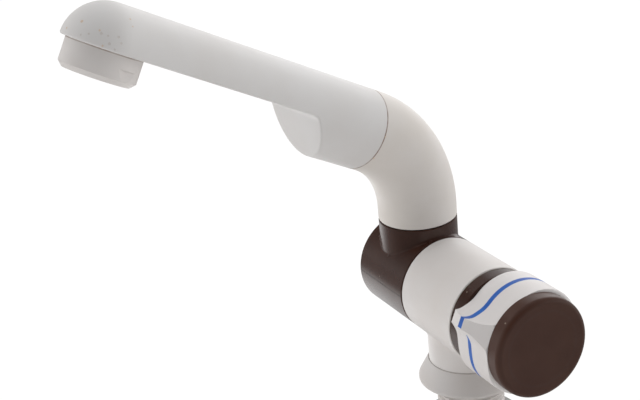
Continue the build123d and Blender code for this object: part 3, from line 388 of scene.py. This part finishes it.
# Spout.
# Elbow and arm are two white mouldings pushed together. The elbow has yellowed a little more,
# and the joint between them has collected a thin brown line of dirt.
swing, slope = math.radians(7.8), math.radians(29.6)  # towards the knob, above the level
to_knob_side = Vector((math.sin(swing), -math.cos(swing), 0))
arm_way = Vector(
    (-math.cos(slope) * math.cos(swing), -math.cos(slope) * math.sin(swing), math.sin(slope))
)
arm_up = arm_way.cross(to_knob_side)
seam_middle = Vector((-0.025529, 0.030203, 0.103371))
elbow_white = moulded_white("moulded white acetal, elbow", "#DBD6D2", "#D6D0CA")
dress(dirty_joint(elbow_white, seam_middle, arm_way, 0.4, "#7A5B4B", 0.8), "spout_elbow")
arm_white = moulded_white("moulded white acetal, arm", "#D8D6D5", "#D4D1CF")
dress(dirty_joint(arm_white, seam_middle, arm_way, 0.4, "#7A5B4B", 0.8), "spout_arm")

# Nozzle.
# A white moulding screwed up under the tip, with dirt in the joint above it too. The
# aerator in its mouth is grey nylon.
arm_length = 0.1176
tip_middle = seam_middle + arm_way * arm_length
nozzle_white = moulded_white("moulded white acetal, nozzle", "#D9D5D3", "#D5CFCB")
dress(dirty_joint(nozzle_white, tip_middle, arm_up, 0.6, "#83695A", 0.75), "nozzle")
dress(nylon, "aerator_insert")

# Specks.
# Spots of lime, rust and grime dried on near the tip and the seam, two scuffs on the flange,
# and a grain of dust on each of three brown pieces. Each is a flat blot on the surface.


def blot(build, middle, outwards, radius_mm):
    """Adds a flat round blot with a wavy edge, 0.02 mm above the surface."""
    turn = outwards.to_track_quat("Z", "Y").to_matrix().to_4x4()
    lift = 0.00002
    place = Matrix.Translation(middle + outwards * lift) @ turn
    made = bmesh.ops.create_circle(
        build, cap_ends=True, segments=14, radius=radius_mm / 1000, matrix=place
    )
    for number, vert in enumerate(made["verts"]):
        wave = number * 2.4 + radius_mm * 40  # another start for each size of blot
        stretch = 1 + 0.22 * math.sin(wave)
        vert.co = place @ ((place.inverted() @ vert.co) * stretch)


def speckle(name, material, spots):
    """Makes one piece of the spots, given as (place, way out, radius in mm)."""
    mesh = bpy.data.meshes.new(name)
    build = bmesh.new()
    for middle, outwards, radius_mm in spots:
        blot(build, middle, outwards, radius_mm)
    build.to_mesh(mesh)
    build.free()
    mesh.materials.append(material)
    piece = bpy.data.objects.new(name, mesh)
    bpy.context.scene.collection.objects.link(piece)
    return piece


spout_radius = 0.016


def on_arm(distance_mm, angle, radius_mm):
    """Spot on the arm or its domed tip, at a distance from the seam and an angle round from the
    top towards the knob."""
    spoke = arm_up * math.cos(math.radians(angle)) + to_knob_side * math.sin(math.radians(angle))
    beyond = max(0.0, distance_mm / 1000 - arm_length)
    outwards = (spoke * math.sqrt(spout_radius**2 - beyond**2) + arm_way * beyond).normalized()
    middle = seam_middle + arm_way * (distance_mm / 1000 - beyond)
    return middle + outwards * spout_radius, outwards, radius_mm


def on_barrel(station_mm, angle, radius_mm, barrel_mm):
    """Spot on a piece of the barrel, at a station and an angle up from the spout side."""
    outwards = Vector((-math.cos(math.radians(angle)), 0, math.sin(math.radians(angle))))
    middle = Vector((0, station_mm / 1000, axis_height))
    return middle + outwards * barrel_mm / 1000, outwards, radius_mm


def on_flange(angle, height_mm, radius_mm):
    """Spot on the cone of the flange, at an angle round the stem and a height above the deck."""
    spoke = Vector((math.cos(math.radians(angle)), math.sin(math.radians(angle)), 0))
    foot_radius, lip, rise, run = 20.5, 1.0, 7.8, 4.2  # of the cone, in millimetres
    outwards = (spoke * rise + Vector((0, 0, run))).normalized()
    reach_mm = foot_radius - run * (height_mm - lip) / rise
    return (spoke * reach_mm + Vector((0, 0, height_mm))) / 1000, outwards, radius_mm


powdery = {"patch_mm": 1.0, "relief_mm": 0.05, "grain_mm": 0.3, "specular": 0.2}
lime = surface("dried lime and rust", "#DAC8B6", "#CDBBA8", rough=0.7, **powdery)[0]
grime = surface("dried grey grime", "#CAC4C0", "#D0CBC7", rough=0.7, **powdery)[0]
lime_spots = speckle(
    "lime_spots",
    lime,
    [
        on_arm(131.6, 36.5, 0.55),
        on_arm(133.4, -9.8, 0.4),
        on_arm(127.9, 64.0, 0.35),
        on_arm(118.0, 41.3, 0.35),
        on_arm(117.4, 51.3, 0.3),
        on_arm(126.4, 86.1, 0.35),
        on_arm(-0.5, 123.0, 0.4),
        on_arm(-0.3, 88.0, 0.3),
        (Vector((-0.0256, 0.0217, 0.0884)), Vector((-0.403, -0.572, -0.714)), 0.35),
    ],
)
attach(lime_spots, "spout")
grime_spots = speckle(
    "grime_spots",
    grime,
    [
        on_arm(127.4, 68.7, 0.5),
        on_arm(130.3, 71.0, 0.4),
        on_arm(131.8, 74.3, 0.35),
        on_arm(125.5, 70.6, 0.35),
        on_arm(122.3, 69.6, 0.45),
        on_arm(121.1, 76.4, 0.4),
        on_arm(124.7, 80.8, 0.5),
        on_arm(122.7, 86.1, 0.35),
    ],
)
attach(grime_spots, "spout")
flange_scuff = speckle(
    "flange_scuff", grime, [on_flange(-114.5, 4.3, 0.35), on_flange(-119.0, 3.7, 0.25)]
)
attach(flange_scuff, "stand")

dust = surface("pale dust", "#8D7F76", "#A08F80", rough=0.8, **powdery)[0]
collar_dust = speckle("collar_dust", dust, [on_barrel(-21.2, 50.5, 0.25, 19.6)])
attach(collar_dust, "stand")
barrel_dust = speckle("barrel_dust", dust, [on_barrel(33.7, 7.6, 0.2, 20.0)])
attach(barrel_dust, "fold_barrel")
cap_dust = speckle("cap_dust", dust, [on_barrel(-49.0, 44.8, 0.3, 20.0)])
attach(cap_dust, "knob")

# Camera.
# It stands to the left of the knob and above it, 0.6 m away, and leans a little. Its place was
# fitted to the photo in radii of the barrel, for a focal length of 1500 pixels.
turn, rise, tilt = map(math.radians, (-25.87529, 22.78515, -5.35241))
to_camera = Vector(
    (math.sin(turn) * math.cos(rise), -math.cos(turn) * math.cos(rise), math.sin(rise))
)
level_right = Vector((math.cos(turn), math.sin(turn), 0))
level_up = to_camera.cross(level_right)
right = level_right * math.cos(tilt) + level_up * math.sin(tilt)
up = level_up * math.cos(tilt) - level_right * math.sin(tilt)
lens = bpy.data.cameras.new("camera")
focal_px, frame_px = 1500, 640
lens.sensor_width = 36
lens.lens = lens.sensor_width * focal_px / frame_px
camera = bpy.data.objects.new("camera", lens)
bpy.context.scene.collection.objects.link(camera)
barrel_radius = 0.020
stand = (level_right * -2.68969 + level_up * 3.76227 + to_camera * 30.3057) * barrel_radius
aim = Matrix((right, up, to_camera)).transposed().to_4x4()
camera.matrix_world = Matrix.Translation(stand) @ aim
bpy.context.scene.camera = camera
bpy.context.scene.view_settings.view_transform = "Standard"

# Floor and light.
# A wide sheet of pale paper lies under the tap. The studio is a white tent: bright behind and
# beside the tap, and dark on the side of the photographer. A softbox stands at the back right.


def shows_white(tree, lit, white, to_eye, to_gloss, glow):
    """Mixes plain white over a shader, in one share for the camera, one for glossy and clear
    rays, and one for the light that it sheds."""
    rays = add_node(tree, "ShaderNodeLightPath")
    mirrored = add_node(
        tree,
        "ShaderNodeMath",
        {"operation": "MAXIMUM"},
        _0=rays.outputs["Is Glossy Ray"],
        _1=rays.outputs["Is Transmission Ray"],
    )
    unseen = add_node(
        tree, "ShaderNodeMapRange", Value=mirrored.outputs[0], To_Min=glow, To_Max=to_gloss
    )
    share = add_node(
        tree,
        "ShaderNodeMapRange",
        Value=rays.outputs["Is Camera Ray"],
        To_Min=unseen.outputs[0],
        To_Max=to_eye,
    )
    return add_node(tree, "ShaderNodeMixShader", _0=share.outputs[0], _1=lit, _2=white).outputs[0]


floor_height = -0.115  # below the tip of the folded spout
floor_mesh = bpy.data.meshes.new("studio_floor")
build = bmesh.new()
bmesh.ops.create_circle(build, cap_ends=True, segments=64, radius=6.0)
bmesh.ops.translate(build, verts=build.verts, vec=(0, 0, floor_height))
build.to_mesh(floor_mesh)
build.free()
floor = bpy.data.objects.new("studio_floor", floor_mesh)
bpy.context.scene.collection.objects.link(floor)
paper, tree, place = surface(
    "pale seamless paper",
    "#E4E2E0",
    "#E7E5E3",
    patch_mm=400.0,
    rough=0.85,
    relief_mm=0.05,
    grain_mm=1.0,
    specular=0.1,
)[:3]
# Close to the tap the paper only catches light. From 0.2 m out it begins to shed it.
reach = add_node(tree, "ShaderNodeVectorMath", {"operation": "LENGTH"}, _0=place)
glow = add_node(
    tree,
    "ShaderNodeMapRange",
    smooth,
    Value=reach.outputs["Value"],
    From_Min=0.2,
    From_Max=0.5,
    To_Min=0.0,
    To_Max=0.9,
)
# Reflections see it brighter round one spot behind the tap, and dimmer towards the camera.
forward = add_node(
    tree, "ShaderNodeVectorMath", {"operation": "DOT_PRODUCT"}, _0=place, _1=to_camera
)
bright_spot = (-0.06, 0.32, floor_height)
from_spot = add_node(
    tree, "ShaderNodeVectorMath", {"operation": "DISTANCE"}, _0=place, _1=bright_spot
)
near_spot = add_node(
    tree,
    "ShaderNodeMapRange",
    smooth,
    Value=from_spot.outputs["Value"],
    From_Min=0.05,
    From_Max=0.22,
    To_Min=1.8,
    To_Max=0.35,
)
near_camera = add_node(
    tree,
    "ShaderNodeMapRange",
    smooth,
    Value=forward.outputs["Value"],
    From_Min=-0.1,
    From_Max=0.15,
    To_Min=1.0,
    To_Max=0.4,
)
mirrored = add_node(
    tree,
    "ShaderNodeMath",
    {"operation": "MULTIPLY"},
    _0=near_spot.outputs[0],
    _1=near_camera.outputs[0],
)
glossy = add_node(tree, "ShaderNodeLightPath").outputs["Is Glossy Ray"]
strength = add_node(
    tree, "ShaderNodeMapRange", Value=glossy, To_Min=1.06, To_Max=mirrored.outputs[0]
)
pure_white = (1, 1, 1, 1)
white = add_node(
    tree, "ShaderNodeEmission", Color=pure_white, Strength=strength.outputs[0]
)
whitened = shows_white(
    tree,
    tree.nodes["Principled BSDF"].outputs[0],
    white.outputs[0],
    to_eye=0.88,
    to_gloss=1.0,
    glow=glow.outputs[0],
)
tree.links.new(whitened, tree.nodes["Material Output"].inputs["Surface"])
floor_mesh.materials.append(paper)

world = bpy.data.worlds.new("white tent")
bpy.context.scene.world = world
world.use_nodes = True
tree = world.node_tree
tree.nodes.clear()
way = add_node(tree, "ShaderNodeTexCoord").outputs["Generated"]
facing = add_node(
    tree, "ShaderNodeVectorMath", {"operation": "DOT_PRODUCT"}, _0=way, _1=to_camera
)
height = add_node(tree, "ShaderNodeSeparateXYZ", _0=way)
tent = add_node(
    tree,
    "ShaderNodeMapRange",
    smooth,
    Value=facing.outputs["Value"],
    From_Min=0.4,
    From_Max=0.72,
    To_Min=1.0,
    To_Max=0.08,
)
# The walls are brighter low down. The first row is what they shed, the second what shows of
# them in reflections: the height where they begin to fade, then the low and the high part.
walls = []
for start, low_part, high_part in ((0.05, 2.0, 1.38), (0.0, 0.5, 0.1)):
    by_height = add_node(
        tree,
        "ShaderNodeMapRange",
        smooth,
        Value=height.outputs["Z"],
        From_Min=start,
        From_Max=0.5,
        To_Min=low_part,
        To_Max=high_part,
    )
    strength = add_node(
        tree,
        "ShaderNodeMath",
        {"operation": "MULTIPLY"},
        _0=tent.outputs[0],
        _1=by_height.outputs[0],
    )
    wall = add_node(
        tree, "ShaderNodeBackground", Color=pure_white, Strength=strength.outputs[0]
    )
    walls.append(wall.outputs[0])
rays = add_node(tree, "ShaderNodeLightPath").outputs
tent_light = add_node(
    tree, "ShaderNodeMixShader", _0=rays["Is Glossy Ray"], _1=walls[0], _2=walls[1]
)
backdrop = add_node(tree, "ShaderNodeBackground", Color=pure_white, Strength=1.0)
whitened = shows_white(
    tree, tent_light.outputs[0], backdrop.outputs[0], to_eye=1.0, to_gloss=0.0, glow=0.0
)
ending = add_node(tree, "ShaderNodeOutputWorld")
tree.links.new(whitened, ending.inputs["Surface"])

softbox = bpy.data.lights.new("softbox", "AREA")
softbox.size = 0.5
softbox.energy = 0.65
softbox_stand = bpy.data.objects.new("softbox", softbox)
softbox_stand.location = (0.36, 0.38, 0.22)
lamp_way = Vector((-0.02, 0.02, 0.10)) - softbox_stand.location
softbox_stand.rotation_euler = lamp_way.to_track_quat("-Z", "Y").to_euler()
bpy.context.scene.collection.objects.link(softbox_stand)
